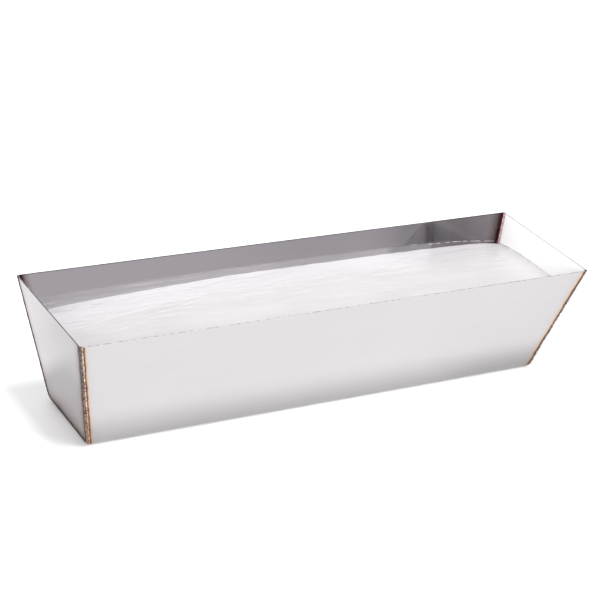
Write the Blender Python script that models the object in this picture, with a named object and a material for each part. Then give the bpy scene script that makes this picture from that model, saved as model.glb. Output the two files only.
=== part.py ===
"""Mud pan: a stainless steel drywall trough with two welded end plates, filled with joint compound.

Frame, in metres: +Z is up, X runs along the pan and Y across it. The origin is the centre of the
underside, where the pan rests. The left end is at -X and the front side is at -Y.

The pan is three pieces of sheet. One blank is folded into the trough: the front side, the bottom
and the back side, with a round bend between them. A flat plate closes each leaning end. Trough and
plate stop short of the corner between them, and a weld run fills it: one down the front seam,
one down the back seam and one along the bottom, at each end.

A point near a seam is named by two distances: `out`, outwards from the trough's outer face, and
`beyond`, outwards from the end plate's outer face. Both are negative inside the metal.
"""

import math

import bmesh
import bpy
from mathutils import Vector

MM = 0.001

# Driving dimensions: a 16 inch pan
TOP_LENGTH = 406.4 * MM
TOP_WIDTH = 108.5 * MM
HEIGHT = 89.2 * MM
BOTTOM_LENGTH = 365.8 * MM
BOTTOM_WIDTH = 66.4 * MM  # between the sharp corners that the bends round off
SHEET = 0.8 * MM
BEND_RADIUS = 6.0 * MM  # of the outer face

# Welds
BEAD_WIDTH = 2.4 * MM  # from the sharp corner to each sheet's edge
BEAD_CROWN = 0.7 * MM  # how far the middle of its cap bulges

# Joint compound
FILL_AT_SIDES = 69.0 * MM  # height of its edge along the middle of each side
FILL_CROWN = 2.2 * MM  # how far its middle stands above its edges
FILL_END_DROP = 1.5 * MM  # how much lower it lies at the ends
FILL_CORNER = 3.6 * MM  # how far it is cut back at the corners, to clear the weld roots

GAP = 0.3 * MM  # between pieces that touch

WALL_LEAN = math.atan((TOP_WIDTH - BOTTOM_WIDTH) / 2 / HEIGHT)
END_LEAN = math.atan((TOP_LENGTH - BOTTOM_LENGTH) / 2 / HEIGHT)
BEND_ANGLE = math.pi / 2 - WALL_LEAN
BEND_CENTRE_Y = BOTTOM_WIDTH / 2 - BEND_RADIUS * math.tan(BEND_ANGLE / 2)

BEND_STEPS = 12
BEAD_STEPS = 8
FILL_STATIONS = 24
FILL_COLUMNS = 12

STEEL = ((0.62, 0.61, 0.60), 1.0, 0.28)
WELD_STEEL = ((0.24, 0.19, 0.16), 1.0, 0.42)
COMPOUND = ((0.88, 0.87, 0.88), 0.0, 0.62)


# ---- The trough's section and the end planes -------------------------------------------------


def half_section(out):
    """(y, z) points of one side, from the middle of the bend's foot up to the rim, `out` outwards."""
    radius = BEND_RADIUS + out
    arc = [BEND_ANGLE * step / BEND_STEPS for step in range(BEND_STEPS + 1)]
    points = [(BEND_CENTRE_Y + radius * math.sin(a), BEND_RADIUS - radius * math.cos(a)) for a in arc]
    return points + [(side_at(HEIGHT, out), HEIGHT)]


def section(out):
    """(y, z) points of the whole trough section, from the front rim down and up to the back rim."""
    back = half_section(out)
    return [(-y, z) for y, z in reversed(back)] + back


def side_at(z, out):
    """How far from the middle plane a straight side is at height z."""
    return BOTTOM_WIDTH / 2 + z * math.tan(WALL_LEAN) + out / math.cos(WALL_LEAN)


def end_at(z, beyond):
    """How far along the pan an end plate's face is at height z."""
    return BOTTOM_LENGTH / 2 + z * math.tan(END_LEAN) + beyond / math.cos(END_LEAN)


# ---- Mesh helpers ----------------------------------------------------------------------------


def loft(name, rings, finish):
    """A closed solid through rings of points, in order, with a flat cap on the first and last."""
    mesh_maker = bmesh.new()
    loops = [[mesh_maker.verts.new(point) for point in ring] for ring in rings]
    for ring, following in zip(loops, loops[1:]):
        for i, corner in enumerate(ring):
            after = (i + 1) % len(ring)
            mesh_maker.faces.new((corner, ring[after], following[after], following[i]))
    mesh_maker.faces.new(reversed(loops[0]))
    mesh_maker.faces.new(loops[-1])
    bmesh.ops.recalc_face_normals(mesh_maker, faces=mesh_maker.faces)
    mesh = bpy.data.meshes.new(name)
    mesh_maker.to_mesh(mesh)
    mesh_maker.free()
    mesh.shade_smooth()
    mesh.set_sharp_from_angle(angle=math.radians(35))
    mesh.materials.append(material(name, *finish))
    obj = bpy.data.objects.new(name, mesh)
    bpy.context.scene.collection.objects.link(obj)
    return obj


def material(name, colour, metallic, roughness):
    made = bpy.data.materials.new(name)
    made.use_nodes = True
    shader = made.node_tree.nodes["Principled BSDF"]
    shader.inputs["Base Color"].default_value = (*colour, 1.0)
    shader.inputs["Metallic"].default_value = metallic
    shader.inputs["Roughness"].default_value = roughness
    return made


# ---- Sheet metal -----------------------------------------------------------------------------


def make_trough():
    """The folded blank: its section, cut off at both leaning ends."""
    ring = section(0.0) + section(-SHEET)[::-1]
    cut = -BEAD_WIDTH - GAP
    ends = [[Vector((side * end_at(z, cut), y, z)) for y, z in ring] for side in (-1, 1)]
    return loft("trough", ends, STEEL)


def make_end_plate(name, side):
    """A flat plate inside the trough's outline, leaning outwards."""
    outline = section(-BEAD_WIDTH - GAP)
    faces = [[Vector((side * end_at(z, beyond), y, z)) for y, z in outline] for beyond in (0.0, -SHEET)]
    return loft(name, faces, STEEL)


# ---- Weld runs -------------------------------------------------------------------------------


def bead_section():
    """(out, beyond) points round a run: a crowned cap outside, and a fillet as thick as the sheet."""
    turns = [math.pi / 2 * step / BEAD_STEPS for step in range(BEAD_STEPS + 1)]
    cap = [(BEAD_WIDTH + BEAD_CROWN * math.sin(2 * turn), turn) for turn in turns]
    root = [(BEAD_WIDTH - SHEET, turn) for turn in reversed(turns)]
    return [(r * math.cos(turn) - BEAD_WIDTH, r * math.sin(turn) - BEAD_WIDTH) for r, turn in cap + root]


def side_stations():
    """(y, z, normal y, normal z, crown share) down a back seam: rim, bend, and the bend's foot."""
    stations = [(side_at(HEIGHT, 0.0), HEIGHT, 1 / math.cos(WALL_LEAN), 0.0, 1.0)]
    for step in range(BEND_STEPS + 1):
        angle = BEND_ANGLE * (1 - step / BEND_STEPS)
        y = BEND_CENTRE_Y + BEND_RADIUS * math.sin(angle)
        z = BEND_RADIUS - BEND_RADIUS * math.cos(angle)
        crown = math.sin(math.pi / 2 * (1 - step / BEND_STEPS)) ** 2
        stations.append((y, z, math.sin(angle), -math.cos(angle), crown))
    return stations


def bottom_stations():
    """The same along a bottom seam, which is dressed flush so that the pan sits flat."""
    reach = BEND_CENTRE_Y - GAP
    return [(reach, 0.0, 0.0, -1.0, 0.0), (-reach, 0.0, 0.0, -1.0, 0.0)]


def make_weld(name, side, stations, turn=1):
    """A run along one seam of the end at `side`. `turn` -1 moves a back seam to the front."""
    rings = []
    for y, z, normal_y, normal_z, crown in stations:
        ring = []
        for out, beyond in bead_section():
            level = out if out < 0 else out * crown
            height = z + level * normal_z
            ring.append(Vector((side * end_at(height, beyond), turn * (y + level * normal_y), height)))
        rings.append(ring)
    return loft(name, rings, WELD_STEEL)


# ---- Joint compound --------------------------------------------------------------------------


def fill_height(along, across):
    """Height of the compound's top, with `along` and `across` from -1 to 1 between the walls."""
    return FILL_AT_SIDES + FILL_CROWN * (1 - across**2) - FILL_END_DROP * along**6


def fill_ring(along, inset, cut_back):
    """One section through the compound, `inset` from the sides and `cut_back` from the ends."""
    level = fill_height(along, 1.0)
    wall = [(y, z) for y, z in half_section(-inset)[:-1]]
    edge = side_at(level, -inset)
    columns = [1 - 2 * step / FILL_COLUMNS for step in range(FILL_COLUMNS + 1)]
    top = [(edge * across, fill_height(along, across)) for across in columns]
    outline = [(-y, z) for y, z in reversed(wall)] + wall + top
    return [Vector((along * end_at(z, -cut_back), y, z)) for y, z in outline]


def make_compound():
    """The fill: against the sides and ends, and stepped back from the weld roots in the corners."""
    against = SHEET + GAP
    rings = [fill_ring(-1.0, FILL_CORNER, against)]
    for step in range(FILL_STATIONS + 1):
        along = math.sin(math.pi / 2 * (2 * step / FILL_STATIONS - 1))
        rings.append(fill_ring(along, against, FILL_CORNER))
    rings.append(fill_ring(1.0, FILL_CORNER, against))
    return loft("joint_compound", rings, COMPOUND)


def main():
    for obj in list(bpy.data.objects):
        bpy.data.objects.remove(obj, do_unlink=True)
    make_trough()
    for end, side in (("left", -1), ("right", 1)):
        make_end_plate(f"{end}_end_plate", side)
        make_weld(f"front_{end}_weld", side, side_stations(), turn=-1)
        make_weld(f"back_{end}_weld", side, side_stations())
        make_weld(f"bottom_{end}_weld", side, bottom_stations())
    make_compound()


main()
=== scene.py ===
import math
import random

import bmesh
import bpy
from mathutils import Matrix, Vector, noise


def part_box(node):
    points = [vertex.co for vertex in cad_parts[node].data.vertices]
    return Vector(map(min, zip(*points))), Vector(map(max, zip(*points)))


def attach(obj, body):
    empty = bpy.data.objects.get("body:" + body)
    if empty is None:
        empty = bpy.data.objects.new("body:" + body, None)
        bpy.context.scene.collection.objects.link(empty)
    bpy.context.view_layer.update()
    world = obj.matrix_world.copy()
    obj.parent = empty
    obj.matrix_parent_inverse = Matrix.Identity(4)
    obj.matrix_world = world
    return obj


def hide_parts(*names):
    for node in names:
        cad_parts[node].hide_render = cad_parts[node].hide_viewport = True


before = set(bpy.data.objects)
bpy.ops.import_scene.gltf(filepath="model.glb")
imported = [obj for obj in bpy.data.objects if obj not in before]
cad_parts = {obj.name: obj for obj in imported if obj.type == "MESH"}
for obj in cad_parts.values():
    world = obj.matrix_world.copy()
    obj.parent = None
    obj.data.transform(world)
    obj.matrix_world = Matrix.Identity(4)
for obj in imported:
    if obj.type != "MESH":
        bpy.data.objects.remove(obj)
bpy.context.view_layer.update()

MM = 0.001

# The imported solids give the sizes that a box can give
PLATE_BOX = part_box("right_end_plate")
TROUGH_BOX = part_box("trough")
TOP_LENGTH = 2 * PLATE_BOX[1][0]
TOP_WIDTH = 2 * TROUGH_BOX[1][1]
HEIGHT = TROUGH_BOX[1][2]
BOTTOM_LENGTH = 365.8 * MM
BOTTOM_WIDTH = 66.4 * MM
SHEET = 0.8 * MM
BEND_RADIUS = 6.0 * MM
BEAD_WIDTH = 2.4 * MM
WALL_SLOPE = (TOP_WIDTH - BOTTOM_WIDTH) / 2 / HEIGHT
END_SLOPE = (TOP_LENGTH - BOTTOM_LENGTH) / 2 / HEIGHT
WALL_LEAN = math.atan(WALL_SLOPE)
END_LEAN = math.atan(END_SLOPE)
BEND_ANGLE = math.pi / 2 - WALL_LEAN
BEND_CENTRE_Y = BOTTOM_WIDTH / 2 - BEND_RADIUS * math.tan(BEND_ANGLE / 2)

FILL_AT_SIDES = 69.3 * MM  # height of the compound where it meets the walls
FILL_CROWN = 2.2 * MM  # its rise along the middle
CORNER_DROP = 1.8 * MM  # its fall in the corners

UNDER_BEAD = -1.9 * MM  # how far from the corner each sheet ends, hidden in the bead
EDGE_ROUND = 0.16 * MM  # on the sheared rims
RIM_START = HEIGHT - EDGE_ROUND
RIM_MARGIN = 0.3 * MM  # the last row of a wall stands this far under the rounding


def side_at(z, out):
    return BOTTOM_WIDTH / 2 + z * WALL_SLOPE + out / math.cos(WALL_LEAN)


def end_at(z, beyond):
    return BOTTOM_LENGTH / 2 + z * END_SLOPE + beyond / math.cos(END_LEAN)


def smooth(low, high, value):
    t = min(1.0, max(0.0, (value - low) / (high - low)))
    return t * t * (3 - 2 * t)


def rough(x, y=0.0, z=0.0):
    """Smooth noise, about -1 to 1."""
    return noise.noise(Vector((x, y, z)))


# ---- Shader building -------------------------------------------------------------------------


class Shader:
    """A material with one Principled shader, and short ways to add nodes to it.

    A range for `spread` is: from, to, and what it gives at each of them.
    """

    def __init__(self, name):
        self.material = bpy.data.materials.new(name)
        self.material.use_nodes = True
        self.tree = self.material.node_tree
        self.bsdf = self.tree.nodes["Principled BSDF"]
        self.coords = self.tree.nodes.new("ShaderNodeTexCoord")

    def put(self, value, socket):
        if isinstance(value, bpy.types.NodeSocket):
            self.tree.links.new(value, socket)
        elif isinstance(value, tuple) and len(value) == 3 and len(socket.default_value) == 4:
            socket.default_value = (*value, 1.0)
        else:
            socket.default_value = value

    def math(self, operation, *values):
        node = self.tree.nodes.new("ShaderNodeMath")
        node.operation = operation
        for value, socket in zip(values, node.inputs):
            self.put(value, socket)
        return node.outputs[0]

    def chain(self, operation, values):
        total = values[0]
        for value in values[1:]:
            total = self.math(operation, total, value)
        return total

    def plus(self, *values):
        return self.chain("ADD", values)

    def minus(self, *values):
        return self.chain("SUBTRACT", values)

    def times(self, *values):
        return self.chain("MULTIPLY", values)

    def xyz(self, source="Object"):
        node = self.tree.nodes.new("ShaderNodeSeparateXYZ")
        self.tree.links.new(self.coords.outputs[source], node.inputs[0])
        return node.outputs

    def noise(self, scale, detail=3.0, roughness=0.5, source="Object"):
        """Noise with a scale for each axis, mostly between 0.3 and 0.7."""
        mapping = self.tree.nodes.new("ShaderNodeMapping")
        self.tree.links.new(self.coords.outputs[source], mapping.inputs["Vector"])
        mapping.inputs["Scale"].default_value = scale
        node = self.tree.nodes.new("ShaderNodeTexNoise")
        self.tree.links.new(mapping.outputs[0], node.inputs["Vector"])
        node.inputs["Scale"].default_value = 1.0
        node.inputs["Detail"].default_value = detail
        node.inputs["Roughness"].default_value = roughness
        return node.outputs["Fac"]

    def spread(self, value, low, high, to_low=0.0, to_high=1.0):
        node = self.tree.nodes.new("ShaderNodeMapRange")
        node.clamp = True
        self.put(value, node.inputs["Value"])
        node.inputs["From Min"].default_value = low
        node.inputs["From Max"].default_value = high
        node.inputs["To Min"].default_value = to_low
        node.inputs["To Max"].default_value = to_high
        return node.outputs[0]

    def swing(self, noisy, reach):
        """Noise turned into plus or minus `reach`."""
        return self.spread(noisy, 0.3, 0.7, -reach, reach)

    def ramp(self, value, stops):
        node = self.tree.nodes.new("ShaderNodeValToRGB")
        self.put(value, node.inputs[0])
        elements = node.color_ramp.elements
        while len(elements) < len(stops):
            elements.new(0.5)
        for element, (place, colour) in zip(elements, stops):
            element.position = place
            element.color = (*colour, 1.0)
        return node.outputs[0]

    def mix(self, factor, a, b, blend="MIX"):
        node = self.tree.nodes.new("ShaderNodeMix")
        node.data_type = "RGBA"
        node.blend_type = blend
        self.put(factor, node.inputs["Factor"])
        self.put(a, node.inputs["A"])
        self.put(b, node.inputs["B"])
        return node.outputs["Result"]

    def tinted(self, a, b):
        """Two colours multiplied."""
        return self.mix(1.0, a, b, "MULTIPLY")

    def grey(self, value):
        """A colour from one number."""
        return self.mix(0.0, value, value)

    def bump(self, height, distance, strength, normal=None):
        node = self.tree.nodes.new("ShaderNodeBump")
        node.inputs["Strength"].default_value = strength
        node.inputs["Distance"].default_value = distance
        self.tree.links.new(height, node.inputs["Height"])
        if normal is not None:
            self.tree.links.new(normal, node.inputs["Normal"])
        return node.outputs[0]

    def gloss(self, value):
        self.put(value, self.bsdf.inputs["Specular IOR Level"])

    def set(self, **inputs):
        for name, value in inputs.items():
            self.put(value, self.bsdf.inputs[name.replace("_", " ").title()])


# ---- Steel -----------------------------------------------------------------------------------

STEEL_COLOUR = (0.466, 0.452, 0.456)
INSIDE_TONE = (0.468, 0.450, 0.470)
# tone of the painted reflection in the back wall's dark zone
DARK_REFLECTION_TONE = (0.490, 0.446, 0.478)
PLATE_TONE = (0.466, 0.446, 0.456)
# colour of the painted glare inside the right plate
GLARE_COLOUR = (0.95, 0.95, 0.95)
OUTSIDE_SHEEN = (0.075, 0.11)
INSIDE_SHEEN = (0.05, 0.07)
ALONG_GRAIN = (25, 1500, 1500)
ACROSS_GRAIN = (1500, 25, 1500)

# Heat tints, from the weld outwards: share of TINT_REACH, colour
OUTSIDE_TINT = [
    (0.00, (0.16, 0.08, 0.06)),
    (0.06, (0.26, 0.11, 0.08)),
    (0.11, (0.72, 0.47, 0.30)),
    (0.19, (0.98, 0.84, 0.66)),
    (0.34, (1.0, 0.94, 0.87)),
    (0.55, (0.96, 0.97, 1.0)),
    (1.00, (1.0, 1.0, 1.0)),
]
PLATE_TINT = [
    (0.00, (0.045, 0.026, 0.022)),
    (0.035, (0.13, 0.075, 0.060)),
    (0.08, (0.36, 0.25, 0.21)),
    (0.18, (0.62, 0.52, 0.49)),
    (0.32, (0.85, 0.78, 0.77)),
    (0.60, (0.96, 0.93, 0.95)),
    (0.80, (1.0, 1.0, 1.0)),
]
INSIDE_TINT = [
    (0.00, (0.05, 0.02, 0.02)),
    (0.10, (0.10, 0.05, 0.05)),
    (0.20, (0.34, 0.23, 0.22)),
    (0.36, (0.60, 0.52, 0.48)),
    (0.60, (0.82, 0.76, 0.74)),
    (0.85, (0.97, 0.95, 0.95)),
    (1.00, (1.0, 1.0, 1.0)),
]
PLATE_INSIDE_TINT = [
    (0.00, (0.60, 0.40, 0.42)),
    (0.08, (0.78, 0.60, 0.60)),
    (0.18, (0.92, 0.80, 0.77)),
    (0.40, (1.0, 0.93, 0.90)),
    (0.70, (1.0, 0.98, 0.98)),
    (1.00, (1.0, 1.0, 1.0)),
]
TINT_REACH = 7.0 * MM
# Distances from a weld are shrunk where its tint is wide and stretched where it is narrow
RIGHT_TINT_SHRINK = (-0.1, 0.1, 1.0, 0.62)
ABOUT_MIDDLE = (-0.01, 0.01)
FRONT_TINT_START = 0.55 * MM
FRONT_TINT_STRETCH = 2.4
BOTTOM_TINT_SHRINK = 0.30
BOTTOM_TINT_START = 0.42 * MM
SIDE_TINT_SHRINK = 0.55
TINT_CORNER_ROUND = 1.2 * MM


def from_end_seam(shader):
    """Metres from the weld, on the trough, less at the right end where the tint reaches further."""
    x, _, z = shader.xyz()
    past = shader.minus(shader.math("ABSOLUTE", x), BOTTOM_LENGTH / 2, shader.times(z, END_SLOPE))
    clear = shader.minus(shader.times(past, -math.cos(END_LEAN)), BEAD_WIDTH)
    return shader.times(clear, shader.spread(x, *RIGHT_TINT_SHRINK))


def from_end_seam_inside(shader):
    """The same inside, where the tint is narrow along the front."""
    y = shader.xyz()[1]
    start = shader.spread(y, *ABOUT_MIDDLE, FRONT_TINT_START, 0.0)
    clear = shader.plus(from_end_seam(shader), start)
    return shader.times(clear, shader.spread(y, *ABOUT_MIDDLE, FRONT_TINT_STRETCH, 1.0))


def from_plate_edge(shader):
    """Metres from the nearest weld, on an end plate, less at the bottom where the tint is wide."""
    _, y, z = shader.xyz()
    past = shader.minus(shader.math("ABSOLUTE", y), BOTTOM_WIDTH / 2, shader.times(z, WALL_SLOPE))
    side = shader.minus(shader.times(past, -math.cos(WALL_LEAN)), BEAD_WIDTH)
    near_side = shader.times(side, SIDE_TINT_SHRINK)
    bottom = shader.times(shader.minus(z, BEAD_WIDTH), BOTTOM_TINT_SHRINK)
    near_bottom = shader.minus(bottom, BOTTOM_TINT_START)
    return shader.math("SMOOTH_MIN", near_side, near_bottom, TINT_CORNER_ROUND)


# The tones from here to the white inside the right plate are painted reflection and painted shade,
# set by place on the steel and fitted to one view's angle; inside the right end they are painted
# glare. The tones from here to `painted_glare` are set by place on the steel, fitted to the
# photo's angle. On the real pan they are probably reflections of the room and, inside the right
# end, overexposure.
# They are fixed marks, and stay where they are from other angles.

# Ranges of painted shade on the outside of the walls
WALL_END_SHADE = (0.07, 0.18, 1.0, 0.94)
WALL_FOOT_SHADE = (0.004, 0.022, 0.88, 1.0)
SHADE_PATCH_END = (0.08, 0.15, 1.0, 0.89)
SHADE_PATCH_FOOT = (0.010, 0.028, 0.89, 1.0)


def wall_shade(shader):
    """Painted shade on the walls, darker towards the bend and the right end: the floor's mirrored
    shadow. Fitted tone of the walls, darker towards the bend and the right end.
    """
    x, _, z = shader.xyz()
    even = shader.times(shader.spread(x, *WALL_END_SHADE), shader.spread(z, *WALL_FOOT_SHADE))
    patch = shader.math("MAXIMUM", shader.spread(x, *SHADE_PATCH_END), shader.spread(z, *SHADE_PATCH_FOOT))
    return shader.times(even, patch)


# Ranges of painted shade on the outside of the end plates
PLATE_RIM_SHADE = (0.035, 0.085, 1.0, 0.76)
PLATE_FOOT_SHADE = (0.0, 0.022, 0.88, 1.0)


def plate_shade(shader):
    """Painted shade on the end plates, darker towards the rim and the foot, for the dimmer floor
    they mirror. Fitted tone of the end plates, darker towards the rim and the foot.
    """
    z = shader.xyz()[2]
    return shader.times(shader.spread(z, *PLATE_RIM_SHADE), shader.spread(z, *PLATE_FOOT_SHADE))


# Painted reflection and painted shade on the back wall: a dark zone with a lighter streak, a band,
# a wedge
ON_BACK = (0.0, 0.01)
DARK_REFLECTION_START = (0.132, 0.135)
DARK_REFLECTION_TONE_START = (0.132, 0.150)
DARK_REFLECTION_CLOUD_SCALE = (30, 30, 45)
DARK_REFLECTION_DEPTH = (0.138, 0.155, 0.62, 0.70)
DARK_REFLECTION_DEPTH_AT_END = (0.165, 0.190, 0.0, -0.09)
DARK_REFLECTION_CLOUD = (0.35, 0.65, -0.012, 0.012)
REFLECTED_STREAK_SLANT = 1.87
REFLECTED_STREAK_LEFT = (0.299, 0.305, 0.02, -0.025)
REFLECTED_STREAK_RIGHT = (0.308, 0.316, 0.0, 0.025)
SHADED_BAND_RAGGED_SCALE = (300, 300, 300)
SHADED_BAND_TOP = (0.110, 0.150, 74.1 * MM, 72.9 * MM)
SHADED_BAND_TOP_AT_END = (0.150, 0.195, 0.0, -4.9 * MM)
SHADED_BAND_RAGGED = 0.4 * MM
SHADED_BAND_SOFT = 0.25 * MM
SHADED_BAND_DEPTH = (0.092, 0.100, 0.0, 0.34)
SHADED_BAND_DEPTH_IN_ZONE = -0.54
WEDGE_SLANT = 1.267
WEDGE_SHADE = (0.0134, 0.0148, 0.0, 0.21)
DIM_MIDDLE = (-0.06, 0.02, 0.0, -0.10)
DIM_MIDDLE_ENDS = (0.05, 0.10, 0.0, 0.12)


def shaded_band(shader):
    """The band of painted shade on the wall above the fill: 1 under its ragged top, 0 over it."""
    x, _, z = shader.xyz()
    line = shader.plus(shader.spread(x, *SHADED_BAND_TOP), shader.spread(x, *SHADED_BAND_TOP_AT_END))
    top = shader.plus(line, shader.swing(shader.noise(SHADED_BAND_RAGGED_SCALE), SHADED_BAND_RAGGED))
    return shader.spread(shader.minus(top, z), -SHADED_BAND_SOFT, SHADED_BAND_SOFT)


def dark_reflection_depth(shader):
    """How much painted reflection darkens the zone near the right end, with a painted lighter
    streak in it.
    """
    x, _, z = shader.xyz()
    depth = shader.plus(shader.spread(x, *DARK_REFLECTION_DEPTH), shader.spread(x, *DARK_REFLECTION_DEPTH_AT_END))
    clouded = shader.plus(depth, shader.spread(shader.noise(DARK_REFLECTION_CLOUD_SCALE), *DARK_REFLECTION_CLOUD))
    slant = shader.plus(x, shader.times(z, REFLECTED_STREAK_SLANT))
    lighter = shader.plus(shader.spread(slant, *REFLECTED_STREAK_LEFT), shader.spread(slant, *REFLECTED_STREAK_RIGHT))
    return shader.plus(clouded, lighter)


def back_wall_reflection(shader):
    """Painted reflection on the back wall: a dark zone near the right end, a shaded band and a
    wedge. Fitted tone of the back wall: a dark zone near the right end, a dull band and a
    wedge.
    """
    x, y, z = shader.xyz()
    back = shader.spread(y, *ON_BACK)
    below = shaded_band(shader)
    past_dark_zone = shader.spread(x, *DARK_REFLECTION_START, 0.0, SHADED_BAND_DEPTH_IN_ZONE)
    band_shade = shader.plus(shader.spread(x, *SHADED_BAND_DEPTH), past_dark_zone)
    band = shader.times(below, back, band_shade)
    darkened_zone = shader.times(shader.spread(x, *DARK_REFLECTION_START), back, dark_reflection_depth(shader))
    lean = shader.minus(x, shader.times(z, WEDGE_SLANT))
    short_of_dark_zone = shader.spread(x, *DARK_REFLECTION_START, 1.0, 0.0)
    corner = shader.times(shader.spread(lean, *WEDGE_SHADE), short_of_dark_zone)
    wedge = shader.times(corner, back, shader.minus(1.0, below))
    kept = shader.times(shader.minus(1.0, band), shader.minus(1.0, darkened_zone))
    dimmer = shader.plus(shader.spread(x, *DIM_MIDDLE), shader.spread(x, *DIM_MIDDLE_ENDS))
    dimmed = shader.plus(1.0, shader.times(dimmer, back))
    return shader.times(kept, dimmed, shader.minus(1.0, wedge))


def inside_tone(shader):
    """The steel's colour inside the trough, with a painted mauve reflection in the back wall's dark
    zone. The steel's colour inside the trough, fitted as mauve in the back wall's dark zone.
    """
    x, y, _ = shader.xyz()
    share = shader.times(shader.spread(x, *DARK_REFLECTION_TONE_START), shader.spread(y, *ON_BACK))
    return shader.mix(share, INSIDE_TONE, DARK_REFLECTION_TONE)


GLARE_RAGGED_SCALE = (250, 250, 250)
GLARE_RAGGED = (0.3, 0.7, 0.0, 0.35 * MM)
GLARE_LOW_EDGE = (-0.25 * MM, 0.35 * MM)
GLARE_SIDE_EDGE = (0.0, 0.55 * MM)
GLARE_COVER = 0.97
GLARE_ROUGHNESS = 0.5
FILL_HALF_WIDTH = 49.5 * MM


def painted_glare(shader):
    """Painted glare: white inside the right plate, clear of welds and fill."""
    x, y, z = shader.xyz()
    share = shader.times(y, y, 1 / FILL_HALF_WIDTH**2)
    sagging = shader.minus(FILL_AT_SIDES, shader.times(share, FILL_CROWN))
    contact = shader.minus(sagging, shader.times(shader.math("POWER", share, 3.0), CORNER_DROP))
    ragged = shader.spread(shader.noise(GLARE_RAGGED_SCALE), *GLARE_RAGGED)
    above = shader.minus(z, contact, ragged)
    clear = shader.spread(from_plate_edge(shader), *GLARE_SIDE_EDGE)
    glare_share = shader.times(shader.spread(above, *GLARE_LOW_EDGE), clear)
    return shader.times(glare_share, shader.spread(x, *ABOUT_MIDDLE, 0.0, GLARE_COVER))


TINT_WOBBLE_SCALE = (160, 160, 160)
TINT_WOBBLE = 0.35 * MM
CLOUD_SCALE = (14, 14, 14)
STREAK_SCALE = (5, 60, 60)
GRAIN_SHADE = (0.3, 0.7, 0.975, 1.02)
CLOUD_SHADE = (0.3, 0.7, 0.985, 1.01)
CLOUD_HAZE = (0.35, 0.65)
STREAK_HAZE = (0.4, 0.7, 0.0, 0.015)
BURNT_ROUGHNESS = (0.0, 2.0 * MM, 0.28, 0.0)
SCALE_EDGE = (0.05 * MM, 0.55 * MM)  # dark scale beside the weld turns to bare metal here
SCALE_GLOSS, METAL_GLOSS = 0.05, 0.5
SHEET_BUMP = (0.00002, 0.35)


def steel(name, from_seam, grain_scale, tint, sheen, tone=STEEL_COLOUR, shading=None, glare=None):
    """Thin sheet: `sheen` is its lowest and highest roughness."""
    shader = Shader(name)
    wobble = shader.noise(TINT_WOBBLE_SCALE, detail=4.0, roughness=0.6)
    from_weld = shader.plus(from_seam(shader), shader.swing(wobble, TINT_WOBBLE))
    heat = shader.ramp(shader.math("DIVIDE", from_weld, TINT_REACH), tint)
    grain = shader.noise(grain_scale, detail=5.0, roughness=0.65)
    cloud = shader.noise(CLOUD_SCALE, detail=5.0, roughness=0.55)
    streak = shader.noise(STREAK_SCALE)
    cloudy = shader.spread(cloud, *CLOUD_SHADE)
    brightness = shader.times(shader.spread(grain, *GRAIN_SHADE), cloudy)
    if shading:
        brightness = shader.times(brightness, shading(shader))
    own_tone = tone(shader) if callable(tone) else tone
    colour = shader.tinted(shader.tinted(own_tone, shader.grey(brightness)), heat)
    even_haze = shader.spread(cloud, *CLOUD_HAZE, *sheen)
    haze = shader.plus(even_haze, shader.spread(streak, *STREAK_HAZE))
    roughness = shader.plus(haze, shader.spread(from_weld, *BURNT_ROUGHNESS))
    metal = shader.spread(from_weld, *SCALE_EDGE)
    # painted glare turns the sheet white, rough and not metal where it covers
    if glare:
        glare_share = glare(shader)
        colour = shader.mix(glare_share, colour, GLARE_COLOUR)
        roughness = shader.plus(roughness, shader.times(glare_share, GLARE_ROUGHNESS))
        metal = shader.minus(1.0, glare_share)
    shader.gloss(shader.spread(from_weld, *SCALE_EDGE, SCALE_GLOSS, METAL_GLOSS))
    normal = shader.bump(shader.mix(0.25, grain, cloud), *SHEET_BUMP)
    shader.set(base_color=colour, metallic=metal, roughness=roughness, normal=normal)
    return shader.material


RIM_GRAIN = [(0.3, (0.8, 0.8, 0.8)), (0.7, (1.1, 1.1, 1.1))]
RIM_LINE_SCALE = (900, 900, 60)
RIM_DASH_SCALE = (300, 300, 300)
RIM_BUMP = (0.00005, 0.5)


def sheared_edge(name, dull, bright, share):
    """A cut edge, dull with brighter dashes along it. `share` is where the dashes begin."""
    shader = Shader(name)
    lines = shader.noise(RIM_LINE_SCALE)
    dashes = shader.noise(RIM_DASH_SCALE, detail=2.0, roughness=0.7)
    patch = shader.spread(dashes, share - 0.05, share + 0.05)
    colour = shader.tinted(shader.mix(patch, dull, bright), shader.ramp(lines, RIM_GRAIN))
    normal = shader.bump(lines, *RIM_BUMP)
    shader.set(base_color=colour, metallic=1.0, roughness=0.42, normal=normal)
    return shader.material


# ---- Weld metal and compound -----------------------------------------------------------------

# Across a bead, from the trough's side to the plate's: share of the way, colour
CAP_COLOURS = [
    (0.00, (0.045, 0.018, 0.014)),
    (0.10, (0.070, 0.026, 0.020)),
    (0.16, (0.30, 0.19, 0.16)),
    (0.22, (0.56, 0.43, 0.39)),
    (0.29, (0.22, 0.18, 0.16)),
    (0.37, (0.090, 0.086, 0.070)),
    (0.62, (0.084, 0.072, 0.064)),
    (0.78, (0.036, 0.025, 0.025)),
    (0.92, (0.010, 0.006, 0.006)),
    (1.00, (0.026, 0.018, 0.016)),
]
RIGHT_CAP_COLOURS = [
    (0.00, (0.035, 0.018, 0.014)),
    (0.11, (0.050, 0.030, 0.026)),
    (0.17, (0.40, 0.35, 0.34)),
    (0.25, (0.42, 0.38, 0.37)),
    (0.32, (0.045, 0.032, 0.032)),
    (0.42, (0.020, 0.014, 0.014)),
    (1.00, (0.026, 0.018, 0.018)),
]
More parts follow.
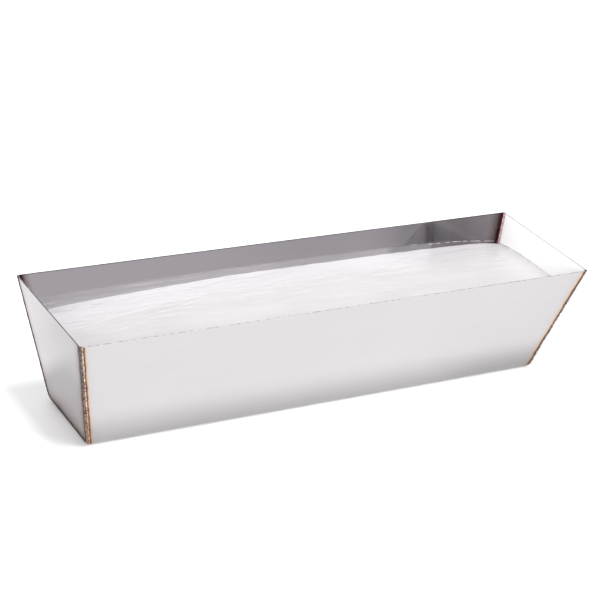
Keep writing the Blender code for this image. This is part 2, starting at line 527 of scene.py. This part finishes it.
LOW_CAP_COLOURS = [
    (0.00, (0.060, 0.024, 0.015)),
    (0.10, (0.10, 0.045, 0.028)),
    (0.18, (0.46, 0.29, 0.20)),
    (0.26, (0.30, 0.18, 0.12)),
    (0.36, (0.13, 0.085, 0.060)),
    (0.50, (0.22, 0.145, 0.105)),
    (0.66, (0.070, 0.052, 0.044)),
    (0.84, (0.030, 0.021, 0.020)),
    (1.00, (0.022, 0.016, 0.015)),
]
BOTTOM_CAP_COLOURS = [
    (0.00, (0.10, 0.08, 0.07)),
    (0.40, (0.030, 0.020, 0.018)),
    (0.80, (0.010, 0.007, 0.007)),
    (1.00, (0.016, 0.010, 0.010)),
]
ROOT_COLOURS = [
    (0.00, (0.02, 0.008, 0.008)),
    (0.42, (0.035, 0.014, 0.016)),
    (0.56, (0.20, 0.16, 0.13)),
    (0.66, (0.30, 0.22, 0.22)),
    (0.80, (0.24, 0.12, 0.17)),
    (0.92, (0.28, 0.16, 0.20)),
    (1.00, (0.46, 0.34, 0.36)),
]
FRONT_ROOT_COLOURS = [
    (0.00, (0.15, 0.13, 0.14)),
    (0.22, (0.34, 0.32, 0.33)),
    (0.50, (0.42, 0.40, 0.41)),
    (0.78, (0.34, 0.32, 0.33)),
    (1.00, (0.15, 0.13, 0.14)),
]
DRIFT_SCALE = (0.4, 3.4, 1.0)
DRIFT_ACROSS = 0.06
DRIFT_UP = 0.012
LOW_COLOURS = (0.018, 0.062)
MOTTLE_SCALE = (620, 620, 620)
MOTTLE = [(0.40, (0.34, 0.32, 0.32)), (0.60, (1.7, 1.66, 1.60))]
MOTTLE_ROUGHNESS = (0.3, 0.7, 0.34, 0.6)
MOTTLE_BUMP = (0.00012, 0.6)
SPECK_SCALE = (1500, 1500, 1500)
SPECK_START = (0.66, 0.74)
SPECK_COLOUR = (0.75, 0.72, 0.70)
WELD_GLOSS = 0.2


def weld(name, stops, specks, low_stops=None, metallic=1.0):
    """Bead metal, coloured across the bead by the UV's first part; `low_stops` near its foot."""
    shader = Shader(name)
    across = shader.xyz("UV")[0]
    drift = shader.noise(DRIFT_SCALE, detail=4.0, roughness=0.65, source="UV")
    place = shader.plus(across, shader.swing(drift, DRIFT_ACROSS))
    band = shader.ramp(place, stops)
    if low_stops:
        height = shader.plus(shader.xyz()[2], shader.swing(drift, DRIFT_UP))
        band = shader.mix(shader.spread(height, *LOW_COLOURS), shader.ramp(place, low_stops), band)
    mottle = shader.noise(MOTTLE_SCALE, detail=4.0, roughness=0.7)
    speck = shader.noise(SPECK_SCALE, detail=2.0)
    mottled = shader.tinted(band, shader.ramp(mottle, MOTTLE))
    colour = shader.mix(shader.spread(speck, *SPECK_START, 0.0, specks), mottled, SPECK_COLOUR)
    roughness = shader.spread(mottle, *MOTTLE_ROUGHNESS)
    normal = shader.bump(mottle, *MOTTLE_BUMP)
    shader.set(base_color=colour, metallic=metallic, roughness=roughness, normal=normal)
    shader.gloss(WELD_GLOSS * metallic)
    return shader.material


FINE_SCALE = (260, 900, 900)
FINE_ROUGHNESS = (0.3, 0.7, 0.30, 0.46)
FINE_BUMP = (0.00012, 0.5)
PORE_SCALE = (1400, 1400, 1400)
PORE_BUMP = (0.00005, 0.35)
COMPOUND_TONE_SCALE = (22, 60, 40)
COMPOUND_TONES = [(0.35, (0.446, 0.432, 0.443)), (0.65, (0.476, 0.461, 0.472))]
COMPOUND_GLOSS = 0.45
# painted light at the compound's right end; painted shade at its left and back
LIT_END_COLOUR = (0.54, 0.524, 0.536)
LIT_END_SPREAD = (0.160, 0.192, 0.0, 0.55)
LEFT_SHADE = (-0.19, -0.07, 0.935, 1.0)
BACK_SHADE = (0.0, 0.04, 1.0, 0.965)


def compound_material():
    """Wet joint compound, with painted light at its right end, where the right plate shades it, and
    painted shade at its left and back. Wet joint compound; its paler right end and darker left and
    back are fitted tones.
    """
    shader = Shader("wet_compound")
    fine = shader.noise(FINE_SCALE, detail=5.0, roughness=0.6)
    pore = shader.noise(PORE_SCALE, detail=2.0)
    even = shader.ramp(shader.noise(COMPOUND_TONE_SCALE, detail=4.0), COMPOUND_TONES)
    x, y, _ = shader.xyz()
    lit_end = shader.mix(shader.spread(x, *LIT_END_SPREAD), even, LIT_END_COLOUR)
    shade = shader.times(shader.spread(x, *LEFT_SHADE), shader.spread(y, *BACK_SHADE))
    shader.set(
        base_color=shader.tinted(lit_end, shader.grey(shade)),
        roughness=shader.spread(fine, *FINE_ROUGHNESS),
        normal=shader.bump(pore, *PORE_BUMP, shader.bump(fine, *FINE_BUMP)),
    )
    shader.gloss(COMPOUND_GLOSS)
    return shader.material


# ---- Meshes ----------------------------------------------------------------------------------


SHARP_ANGLE = 40


def loft(name, rings, slots, materials, caps=(0, 0), uvs=None):
    """A closed solid through rings of points. `slots` gives the material of each strip."""
    maker = bmesh.new()
    loops = [[maker.verts.new(point) for point in ring] for ring in rings]
    layer = maker.loops.layers.uv.new("UVMap") if uvs else None
    for row, (ring, following) in enumerate(zip(loops, loops[1:])):
        for i in range(len(ring)):
            after = (i + 1) % len(ring)
            face = maker.faces.new((ring[i], ring[after], following[after], following[i]))
            face.material_index = slots[row][i] if isinstance(slots[0], list) else slots[i]
            if uvs:
                corners = (uvs(row, i, 0), uvs(row, i, 1), uvs(row + 1, i, 1), uvs(row + 1, i, 0))
                for loop, corner in zip(face.loops, corners):
                    loop[layer].uv = corner
    first = maker.faces.new(reversed(loops[0]))
    first.material_index = caps[0]
    last = maker.faces.new(loops[-1])
    last.material_index = caps[1]
    bmesh.ops.recalc_face_normals(maker, faces=maker.faces)
    mesh = bpy.data.meshes.new(name)
    maker.to_mesh(mesh)
    maker.free()
    mesh.shade_smooth()
    mesh.set_sharp_from_angle(angle=math.radians(SHARP_ANGLE))
    for material in materials:
        mesh.materials.append(material)
    obj = bpy.data.objects.new(name, mesh)
    bpy.context.scene.collection.objects.link(obj)
    return obj


def own(piece, slot, *nodes):
    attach(piece, "root")
    if nodes:
        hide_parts(*nodes)


# ---- The trough ------------------------------------------------------------------------------

OUTER, RIM, INNER, BACK_RIM = 0, 1, 2, 3  # material slots of a sheet

ALONG_STEPS = 110
WALL_STEPS = 16
ARC_STEPS = 16
BOTTOM_STEPS = 8
RIM_TURNS = (30.0, 60.0, 90.0)
WAVE = 0.13 * MM  # how far the sheet bows in and out
CALM_ENDS = (0.0, 0.35)
CALM_FOOT = (12 * MM, 45 * MM)


def wave(x, z, side):
    """Slow bows in a wall, none at the seams and the bend."""
    calm = smooth(*CALM_ENDS, 1 - abs(x) / end_at(z, 0.0)) * smooth(*CALM_FOOT, z)
    slow, quick = rough(x * 11, side * 7.3, z * 9), rough(x * 27, side * 3.1, z * 21)
    return WAVE * calm * (slow + 0.4 * quick)


def bend(radius):
    """(turn, y, z) round the bend, from the bottom up."""
    for k in range(ARC_STEPS + 1):
        turn = BEND_ANGLE * k / ARC_STEPS
        yield turn, BEND_CENTRE_Y + radius * math.sin(turn), BEND_RADIUS - radius * math.cos(turn)


def wall_levels(low, steps):
    """Heights above `low` for a wall's rows, with a close pair at the top for flat shading."""
    rise = RIM_START - RIM_MARGIN - low
    return [low + rise * k / steps for k in range(1, steps + 1)] + [RIM_START]


def rounded_edge():
    """(inward, z) over the rounding of a rim, from its face to its flat."""
    for turn in RIM_TURNS:
        angle = math.radians(turn)
        yield EDGE_ROUND * (1 - math.cos(angle)), RIM_START + EDGE_ROUND * math.sin(angle)


def profile(out):
    """(y, z, normal y, normal z) of one half of the section, from the middle of the bottom up."""
    points = [(BEND_CENTRE_Y * k / BOTTOM_STEPS, -out, 0.0, -1.0) for k in range(BOTTOM_STEPS)]
    for turn, y, z in bend(BEND_RADIUS + out):
        points.append((y, z, math.sin(turn), -math.cos(turn)))
    for z in wall_levels(points[-1][1], WALL_STEPS):
        points.append((side_at(z, out), z, math.cos(WALL_LEAN), -math.sin(WALL_LEAN)))
    return points


def rim_path():
    """(out, z) over the rim, from the outer face to the inner one."""
    outer = [(-inward, z) for inward, z in rounded_edge()]
    return outer + [(-SHEET - out, z) for out, z in reversed(outer)]


def trough_ring(beyond, share):
    """One section of the trough, `share` of the way along it from the left end to the right."""
    outer, inner, rim = profile(0.0), profile(-SHEET), rim_path()

    def place(y, z, ny, nz, side):
        x = (2 * share - 1) * end_at(z, beyond)
        bow = wave(x, z, side)
        return Vector((x, side * (y + ny * bow), z + nz * bow))

    ring = [place(*p, -1) for p in reversed(outer[1:])] + [place(*p, 1) for p in outer]
    ring += [place(side_at(z, out), z, math.cos(WALL_LEAN), 0.0, 1) for out, z in rim]
    ring += [place(*p, 1) for p in reversed(inner)] + [place(*p, -1) for p in inner[1:]]
    ring += [place(side_at(z, out), z, math.cos(WALL_LEAN), 0.0, -1) for out, z in reversed(rim)]
    return ring


def trough_slots():
    skin, rim = 2 * len(profile(0.0)) - 2, len(rim_path()) + 1
    return [OUTER] * skin + [BACK_RIM] * rim + [INNER] * skin + [RIM] * rim


def make_trough(materials):
    shares = [k / ALONG_STEPS for k in range(ALONG_STEPS + 1)]
    rings = [trough_ring(UNDER_BEAD, share) for share in shares]
    piece = loft("folded_trough", rings, trough_slots(), materials)
    own(piece, "sheet_steel", "trough")


# ---- The end plates --------------------------------------------------------------------------

ACROSS_STEPS = 36
PLATE_WALL_STEPS = 18
PLATE_BOW = 0.14 * MM
PLATE_CALM_FOOT = (4 * MM, 30 * MM)


def plate_rows():
    """(half width, z, how far each face is drawn in) from the bottom up."""
    rows = [(y, z, 0.0) for _, y, z in bend(BEND_RADIUS + UNDER_BEAD)]
    for z in wall_levels(rows[-1][1], PLATE_WALL_STEPS):
        rows.append((side_at(z, UNDER_BEAD), z, 0.0))
    for inward, z in rounded_edge():
        rows.append((side_at(z, UNDER_BEAD), z, inward))
    return rows


def make_plate(name, side, node, materials):
    rings, slots = [], []
    for half, z, shrink in plate_rows():
        ring = []
        for beyond, order in ((-shrink, 1), (-SHEET + shrink, -1)):
            for k in range(ACROSS_STEPS + 1):
                across = order * (2 * k / ACROSS_STEPS - 1)
                calm = (1 - abs(across) ** 3) * smooth(*PLATE_CALM_FOOT, z)
                bow = PLATE_BOW * calm * rough(across * 1.3, side * 5.0, z * 14)
                ring.append(Vector((side * end_at(z, beyond + bow), half * across, z)))
        rings.append(ring)
        face, inside = (RIM, RIM) if shrink > 0 else (OUTER, INNER)
        slots.append([face] * (ACROSS_STEPS + 1) + [inside] * ACROSS_STEPS + [face])
    piece = loft(name, rings, slots[1:], materials, caps=(OUTER, RIM))
    own(piece, "sheet_steel", node)


# ---- The weld runs ---------------------------------------------------------------------------

CAP_STEPS = 16
CAP_TURNS = [-9.0] + [90.0 * k / CAP_STEPS for k in range(CAP_STEPS + 1)] + [99.0]
STEP = 0.27 * MM  # between stations
RIM_BLEND = 4.0 * MM
RIM_TUCK = 0.22 * MM  # how far a run is drawn in at the rim
TUCK_STATIONS = 3.0
BEAD_CROWN = 0.7 * MM
RIPPLE = 1.25 * MM
RIPPLE_DEPTH = 0.03 * MM
RIPPLE_LAG = 0.42
GRIT = 0.05 * MM
PROUD = 0.05 * MM
PROUD_CHANGE = 0.04 * MM
CAP_DIP = 0.12 * MM  # how far the cap's ends dip under the sheets' faces
ROOT_CROWN = 0.5 * MM
ROOT_SUNK = 0.05 * MM
ROOT_DIP = 0.1 * MM
UV_PER_METRE = 100


def side_run():
    """(y, z, normal y, normal z, crown share, distance run) from the rim to the bend's foot."""
    stations = []
    foot = BEND_RADIUS * (1 - math.cos(BEND_ANGLE))
    wall_length = (HEIGHT - foot) / math.cos(WALL_LEAN)
    count = int(wall_length / STEP)
    for k in range(count):
        z = HEIGHT - (HEIGHT - foot) * k / count
        level = smooth(0.0, RIM_BLEND, HEIGHT - z)
        ny = (1 - level) / math.cos(WALL_LEAN) + level * math.cos(WALL_LEAN)
        nz = -level * math.sin(WALL_LEAN)
        stations.append((side_at(z, 0.0), z, ny, nz, 1.0, wall_length * k / count))
    arc_length = BEND_RADIUS * BEND_ANGLE
    arc = int(arc_length / STEP)
    for k in range(arc + 1):
        turn = BEND_ANGLE * (1 - k / arc)
        y, z = BEND_CENTRE_Y + BEND_RADIUS * math.sin(turn), BEND_RADIUS * (1 - math.cos(turn))
        crown = math.sin(math.pi / 2 * (1 - k / arc)) ** 2
        run = wall_length + arc_length * k / arc
        stations.append((y, z, math.sin(turn), -math.cos(turn), crown, run))
    return stations


def bottom_run():
    length = 2 * BEND_CENTRE_Y
    count = int(length / STEP)
    runs = [length * k / count for k in range(count + 1)]
    return [(BEND_CENTRE_Y - run, 0.0, 0.0, -1.0, 0.0, run) for run in runs]


def cap_section(run, crown, tuck, seed):
    """(out, beyond) over the rippled cap, from the trough's side to the plate's."""
    swell = 0.85 + 0.45 * rough(run * 130, seed) + 0.25 * rough(run * 420, seed)
    for degrees in CAP_TURNS:
        angle = math.radians(degrees)
        bulge = max(0.0, math.sin(2 * angle)) ** 0.8
        lag = RIPPLE_LAG * (1 - ((degrees - 45) / 45) ** 2)
        wash = math.sin(2 * math.pi * (run / RIPPLE - lag + 0.5 * rough(run * 90, seed + 3)))
        grit = GRIT * rough(run * 900, degrees * 0.07, seed)
        proud = PROUD + PROUD_CHANGE * rough(run * 260, degrees * 0.04, seed + 9)
        rise = bulge * (BEAD_CROWN * swell + RIPPLE_DEPTH * wash + grit) + proud
        radius = BEAD_WIDTH + crown * rise - tuck
        out, beyond = radius * math.cos(angle) - BEAD_WIDTH, radius * math.sin(angle) - BEAD_WIDTH
        if degrees < 0:
            out = -CAP_DIP
        if degrees > 90:
            beyond = -CAP_DIP
        if crown < 0.02:
            out = min(out, 0.0)
        yield out, beyond


def root_section(run, tuck, seed):
    """(out, beyond) over the root inside the corner, on the way back."""
    uneven = 0.9 + 0.4 * rough(run * 150, seed + 20) + 0.2 * rough(run * 600, seed + 21)
    for degrees in reversed(CAP_TURNS):
        angle = math.radians(degrees)
        bulge = max(0.0, math.sin(2 * angle)) ** 0.7
        radius = BEAD_WIDTH - SHEET - ROOT_SUNK - ROOT_CROWN * bulge * uneven + tuck
        out, beyond = radius * math.cos(angle) - BEAD_WIDTH, radius * math.sin(angle) - BEAD_WIDTH
        if degrees < 0:
            out = -SHEET + ROOT_DIP
        if degrees > 90:
            beyond = -SHEET + ROOT_DIP
        yield out, beyond


def make_bead(name, side, turn, stations, seed, node, materials):
    rings = []
    for index, (y, z, ny, nz, crown, run) in enumerate(stations):
        tuck = RIM_TUCK * (1 - smooth(0.0, TUCK_STATIONS, index)) if crown > 0.5 else 0.0
        points = []
        for out, beyond in (*cap_section(run, crown, tuck, seed), *root_section(run, tuck, seed)):
            level = z + out * nz
            points.append(Vector((side * end_at(level, beyond), turn * (y + out * ny), level)))
        rings.append(points)
    count = len(CAP_TURNS)
    runs = [station[5] for station in stations]

    def uvs(row, i, step):
        at = i + step
        if i < count - 1:
            across = at / (count - 1)
        elif i == count - 1:
            across = 1.0
        elif i < 2 * count - 1:
            across = 1 - (at - count) / (count - 1)
        else:
            across = 0.0
        return (across, runs[row] * UV_PER_METRE + seed)

    slots = [0] * (count - 1) + [1] * (count + 1)
    piece = loft(name, rings, slots, materials, caps=(2, 0), uvs=uvs)
    own(piece, "weld_bead", node)


# ---- Joint compound --------------------------------------------------------------------------

LEFT_DROP = 6.1 * MM
LEFT_DROP_START = 0.2
RIGHT_DROP = 2.2 * MM
FILL_STATIONS = 430
FILL_COLUMNS = 120
FILL_INSET = -SHEET + 0.05 * MM  # a hair into the walls, so that no gap shows
MARKED_LENGTH = (-190, 190)
MARKED_WIDTH = (-46, 46)
# How many, lean and its spread in degrees, half length, width, signs, height, curve
LONG_MARKS = (70, (4, 7), (8, 42), (0.5, 1.5), (-1, 1, 1), (0.08, 0.34), (-9, 9))
SHORT_MARKS = (90, (2, 14), (3, 12), (0.35, 0.8), (-1, 1), (0.12, 0.36), (-30, 30))
MARK_REACH = 14 * MM
EDGE_RAGGED = 0.35 * MM


def trowel_marks():
    """Ridges left by the knife: (centre x, y, direction, half length, width, height, curve)."""
    pick = random.Random(11)
    marks = []
    for count, leans, halves, widths, signs, heights, curves in (LONG_MARKS, SHORT_MARKS):
        for _ in range(count):
            x = pick.uniform(*MARKED_LENGTH) * MM
            y = pick.uniform(*MARKED_WIDTH) * MM
            lean = math.radians(pick.gauss(*leans))
            half = pick.uniform(*halves) * MM
            width = pick.uniform(*widths) * MM
            height = pick.choice(signs) * pick.uniform(*heights) * MM
            marks.append((x, y, lean, half, width, height, pick.uniform(*curves)))
    return marks


MARKS = trowel_marks()


def fill_relief(x, y):
    """Trowelled texture of the compound's top."""
    across = y + 6 * MM * rough(x * 9, y * 6, 2.0)
    height = 0.27 * MM * rough(x * 10, across * 55, 4.0)
    height += 0.19 * MM * rough(x * 22, across * 190, 7.0)
    height += 0.11 * MM * rough(x * 60, across * 520, 9.0)
    height += 0.25 * MM * smooth(-0.02, 0.02, rough(x * 5.0, across * 24, 31.0))
    for cx, cy, lean, half, width, tall, curve in MARKS:
        dx, dy = x - cx, y - cy
        if abs(dx) > half * 1.2 or abs(dy) > MARK_REACH:
            continue
        along = dx * math.cos(lean) + dy * math.sin(lean)
        off = dy * math.cos(lean) - dx * math.sin(lean) - curve * along * along
        if abs(off) > 4 * width:
            continue
        fade = max(0.0, 1 - (along / half) ** 2)
        height += tall * fade * math.exp(-((off / width) ** 2))
    return height


def smooth_start(share, start):
    """Nothing up to `start`, then rising almost straight to 1 where `share` is 1."""
    return (max(0.0, share - start) / (1 - start)) ** 1.2


def fill_top(along, across):
    """Height of the compound, with `along` and `across` from -1 to 1 between the walls."""
    level = FILL_AT_SIDES + FILL_CROWN * (1 - across**2)
    level -= CORNER_DROP * abs(along) ** 16 * across**6
    if along < 0:
        level -= LEFT_DROP * smooth_start(-along, LEFT_DROP_START) * (0.4 + 0.6 * across**2)
    else:
        level -= RIGHT_DROP * along**4
    x, y = along * end_at(level, 0), across * side_at(level, 0)
    calm = 1 - 0.7 * smooth(0.93, 1.0, abs(across)) - 0.25 * smooth(0.97, 1.0, abs(along))
    ragged = EDGE_RAGGED * smooth(0.9, 1.0, abs(across)) * rough(x * 85, across * 3, 17.0)
    ragged += EDGE_RAGGED * smooth(0.97, 1.0, abs(along)) * rough(y * 110, along * 3, 27.0)
    return level + calm * fill_relief(x, y) + ragged


def make_compound(material):
    rings = []
    walls = [point[:2] for point in profile(FILL_INSET)[:BOTTOM_STEPS + ARC_STEPS + 1]]
    for station in range(FILL_STATIONS + 1):
        along = 2 * station / FILL_STATIONS - 1
        tops = []
        for column in range(FILL_COLUMNS + 1):
            across = 1 - 2 * column / FILL_COLUMNS
            z = fill_top(along, across)
            tops.append((side_at(z, FILL_INSET) * across, z))
        outline = [(-y, z) for y, z in reversed(walls[1:])] + walls + tops
        rings.append([Vector((along * end_at(z, FILL_INSET), y, z)) for y, z in outline])
    piece = loft("trowelled_compound", rings, [0] * len(rings[0]), [material])
    own(piece, "joint_compound", "joint_compound")


# ---- Remains of compound on the walls --------------------------------------------------------

SMEAR_LINE = [
    (112 * MM, 74.0 * MM),
    (130 * MM, 72.4 * MM),
    (154 * MM, 71.7 * MM),
    (167 * MM, 70.8 * MM),
    (176 * MM, 69.9 * MM),
    (197 * MM, 67.4 * MM),
]
# Start, end and thickness of each, in mm
SMEARS = [
    (114, 122, 0.18),
    (131, 137, 0.32),
    (137.5, 143, 0.24),
    (146, 152, 0.26),
    (153, 162, 0.34),
    (163, 168, 0.24),
    (170, 181, 0.26),
    (183, 194, 0.2),
]
RIM_CRUMBS = [
    (106, 109, 0.34),
    (111.5, 114.5, 0.42),
    (118, 119.6, 0.30),
    (122, 126, 0.40),
    (136, 138, 0.26),
]
RIM_CRUMB_LEVEL = 88.62 * MM
SMEAR_DEPTH = 0.8  # share of its thickness that a thread stands off the wall
RIM_CRUMB_DEPTH = 2.2
SMEAR_TURNS = 12
SMEAR_STEP = 0.35 * MM
THINNEST = 0.06 * MM
SUNK = 0.05 * MM


def smear_level(x):
    for (x0, z0), (x1, z1) in zip(SMEAR_LINE, SMEAR_LINE[1:]):
        if x <= x1:
            return z0 + (z1 - z0) * (x - x0) / (x1 - x0)
    return SMEAR_LINE[-1][1]


def rim_crumb_level(x):
    return RIM_CRUMB_LEVEL


def make_smear(name, side, extent, level_at, depth, material):
    """A ragged thread of compound stuck to the inside of a wall."""
    start, end, size = (measure * MM for measure in extent)
    count = max(6, int((end - start) / SMEAR_STEP))
    rings = []
    for k in range(count + 1):
        x = start + (end - start) * k / count
        taper = max(0.12, min(1.0, 5.0 * k / count, 5.0 * (count - k) / count))
        uneven = 0.75 + 0.55 * rough(x * 520, start * 90) + 0.35 * rough(x * 1500, end * 70)
        half = min(max(THINNEST, size * taper * uneven), 1.25 * size)
        level = level_at(x) + 0.35 * size * rough(x * 330, 5.0)
        ring = []
        for step in range(SMEAR_TURNS):
            angle = 2 * math.pi * step / SMEAR_TURNS
            z = level + half * math.sin(angle)
            out = -SHEET - max(-SUNK, depth * half * math.cos(angle))
            ring.append(Vector((x, side * side_at(z, out), z)))
        rings.append(ring)
    piece = loft(name, rings, [0] * SMEAR_TURNS, [material])
    own(piece, "joint_compound")


# ---- Studio ----------------------------------------------------------------------------------

FLOOR_HALF = 6.0
FLOOR_COLOUR = (0.86, 0.86, 0.865)
FLOOR_GLOW = 0.12
WORLD_GLOW = 0.60
# Name, azimuth, elevation, distance, width, height, radiance
SOFTBOXES = [
    ("overhead", 0, 85, 2.2, 0.5, 0.5, 33.0),
    ("key", 38, 45, 2.4, 1.3, 1.3, 7.4),
    ("low_side", -49, 15, 2.6, 1.1, 1.6, 8.0),
    ("camera_side", -30, 16, 2.6, 0.8, 0.8, 0.15),
    ("behind", 180, 27, 2.6, 3.5, 1.9, 0.66),
    ("behind_low", 165, 22, 2.6, 3.0, 1.0, 0.42),
]
CAMERA_AZIMUTH = -32.54
CAMERA_ELEVATION = 26.159
CAMERA_ROLL = 7.307
CAMERA_TARGET = (90.775, 157.093, -22.665)  # mm
CAMERA_DISTANCE = 1.506751
CAMERA_LENS = 109.746
CAMERA_SENSOR = 36.0


def make_floor():
    maker = bmesh.new()
    bmesh.ops.create_grid(maker, x_segments=8, y_segments=8, size=FLOOR_HALF)
    mesh = bpy.data.meshes.new("floor")
    maker.to_mesh(mesh)
    maker.free()
    floor = bpy.data.objects.new("floor", mesh)
    bpy.context.scene.collection.objects.link(floor)
    shader = Shader("pale_floor")
    shader.set(base_color=FLOOR_COLOUR, roughness=0.7)
    shader.set(emission_color=(1.0, 1.0, 1.0), emission_strength=FLOOR_GLOW)
    mesh.materials.append(shader.material)


def direction(azimuth, elevation):
    """Unit vector towards a bearing: azimuth 0 is the front, 90 the right end."""
    a, e = math.radians(azimuth), math.radians(elevation)
    return Vector((math.sin(a) * math.cos(e), -math.cos(a) * math.cos(e), math.sin(e)))


def softbox(name, azimuth, elevation, distance, width, height, radiance):
    light = bpy.data.lights.new(name, "AREA")
    light.shape = "RECTANGLE"
    light.size = width
    light.size_y = height
    light.energy = radiance * math.pi * width * height
    obj = bpy.data.objects.new(name, light)
    towards = direction(azimuth, elevation)
    obj.location = towards * distance
    obj.rotation_mode = "QUATERNION"
    obj.rotation_quaternion = towards.to_track_quat("Z", "Y")
    bpy.context.scene.collection.objects.link(obj)


def make_world():
    world = bpy.data.worlds.new("studio")
    world.use_nodes = True
    tree = world.node_tree
    background = tree.nodes["Background"]
    background.inputs["Color"].default_value = (1.0, 1.0, 1.0, 1.0)
    background.inputs["Strength"].default_value = WORLD_GLOW
    bpy.context.scene.world = world


def make_camera():
    """At the bearing from which the pan is seen, with the slight roll of the view."""
    back = direction(CAMERA_AZIMUTH, CAMERA_ELEVATION)
    target = Vector(CAMERA_TARGET) * MM
    right = Vector((0, 0, 1)).cross(back).normalized()
    up = back.cross(right)
    roll = math.radians(CAMERA_ROLL)
    across = right * math.cos(roll) + up * math.sin(roll)
    upward = up * math.cos(roll) - right * math.sin(roll)
    camera = bpy.data.cameras.new("camera")
    camera.sensor_width = CAMERA_SENSOR
    camera.lens = CAMERA_LENS
    camera.clip_start = 0.01
    obj = bpy.data.objects.new("camera", camera)
    turn = Matrix((across, upward, back)).transposed().to_4x4()
    obj.matrix_world = Matrix.Translation(target + back * CAMERA_DISTANCE) @ turn
    bpy.context.scene.collection.objects.link(obj)
    bpy.context.scene.camera = obj


make_camera()
make_world()
make_floor()
for softbox_values in SOFTBOXES:
    softbox(*softbox_values)
bpy.context.scene.view_settings.view_transform = "Standard"

# ---- The pan ---------------------------------------------------------------------------------

# The four rims are one sheared edge in four brightnesses of painted light and shade: the back
# darkest, then the left, the front and the right.
front_rim = sheared_edge("front_rim", (0.31, 0.28, 0.29), (0.54, 0.50, 0.51), 0.47)
back_rim = sheared_edge("back_rim", (0.035, 0.03, 0.033), (0.10, 0.09, 0.095), 0.6)
left_rim = sheared_edge("left_rim", (0.10, 0.09, 0.10), (0.30, 0.28, 0.29), 0.62)
right_rim = sheared_edge("right_rim", (0.30, 0.29, 0.29), (0.36, 0.35, 0.35), 0.5)
trough_outside = steel(
    "trough_outside", from_end_seam, ALONG_GRAIN, OUTSIDE_TINT, OUTSIDE_SHEEN, shading=wall_shade
)
trough_inside = steel(
    "trough_inside",
    from_end_seam_inside,
    ALONG_GRAIN,
    INSIDE_TINT,
    INSIDE_SHEEN,
    inside_tone,
    back_wall_reflection,
)
plate_outside = steel(
    "plate_outside",
    from_plate_edge,
    ACROSS_GRAIN,
    PLATE_TINT,
    OUTSIDE_SHEEN,
    PLATE_TONE,
    plate_shade,
)
plate_inside = steel(
    "plate_inside",
    from_plate_edge,
    ACROSS_GRAIN,
    PLATE_INSIDE_TINT,
    INSIDE_SHEEN,
    INSIDE_TONE,
    glare=painted_glare,
)
left_cap = weld("left_weld_cap", CAP_COLOURS, 0.6, LOW_CAP_COLOURS, metallic=0.3)
right_cap = weld("right_weld_cap", RIGHT_CAP_COLOURS, 0.3, metallic=0.45)
bottom_cap = weld("weld_bottom_cap", BOTTOM_CAP_COLOURS, 0.1, metallic=0.0)
root = weld("weld_root", ROOT_COLOURS, 0.15)
front_root = weld("weld_front_root", FRONT_ROOT_COLOURS, 0.1)
compound = compound_material()

make_trough([trough_outside, front_rim, trough_inside, back_rim])
for end, side, seed, rim, cap in (
    ("left", -1, 40.0, left_rim, left_cap),
    ("right", 1, 10.0, right_rim, right_cap),
):
    make_plate(f"{end}_plate", side, f"{end}_end_plate", [plate_outside, rim, plate_inside])
    for place, turn, stations, extra, metals in (
        ("front", -1, side_run(), 1, [cap, front_root, left_rim]),
        ("back", 1, side_run(), 2, [cap, root, left_rim]),
        ("bottom", 1, bottom_run(), 3, [bottom_cap, root, left_rim]),
    ):
        name, node = f"{place}_{end}_bead", f"{place}_{end}_weld"
        make_bead(name, side, turn, stations, seed + extra, node, metals)
make_compound(compound)
for index, extent in enumerate(SMEARS):
    make_smear(f"wall_smear_{index}", 1, extent, smear_level, SMEAR_DEPTH, compound)
for index, extent in enumerate(RIM_CRUMBS):
    make_smear(f"rim_crumb_{index}", -1, extent, rim_crumb_level, RIM_CRUMB_DEPTH, compound)
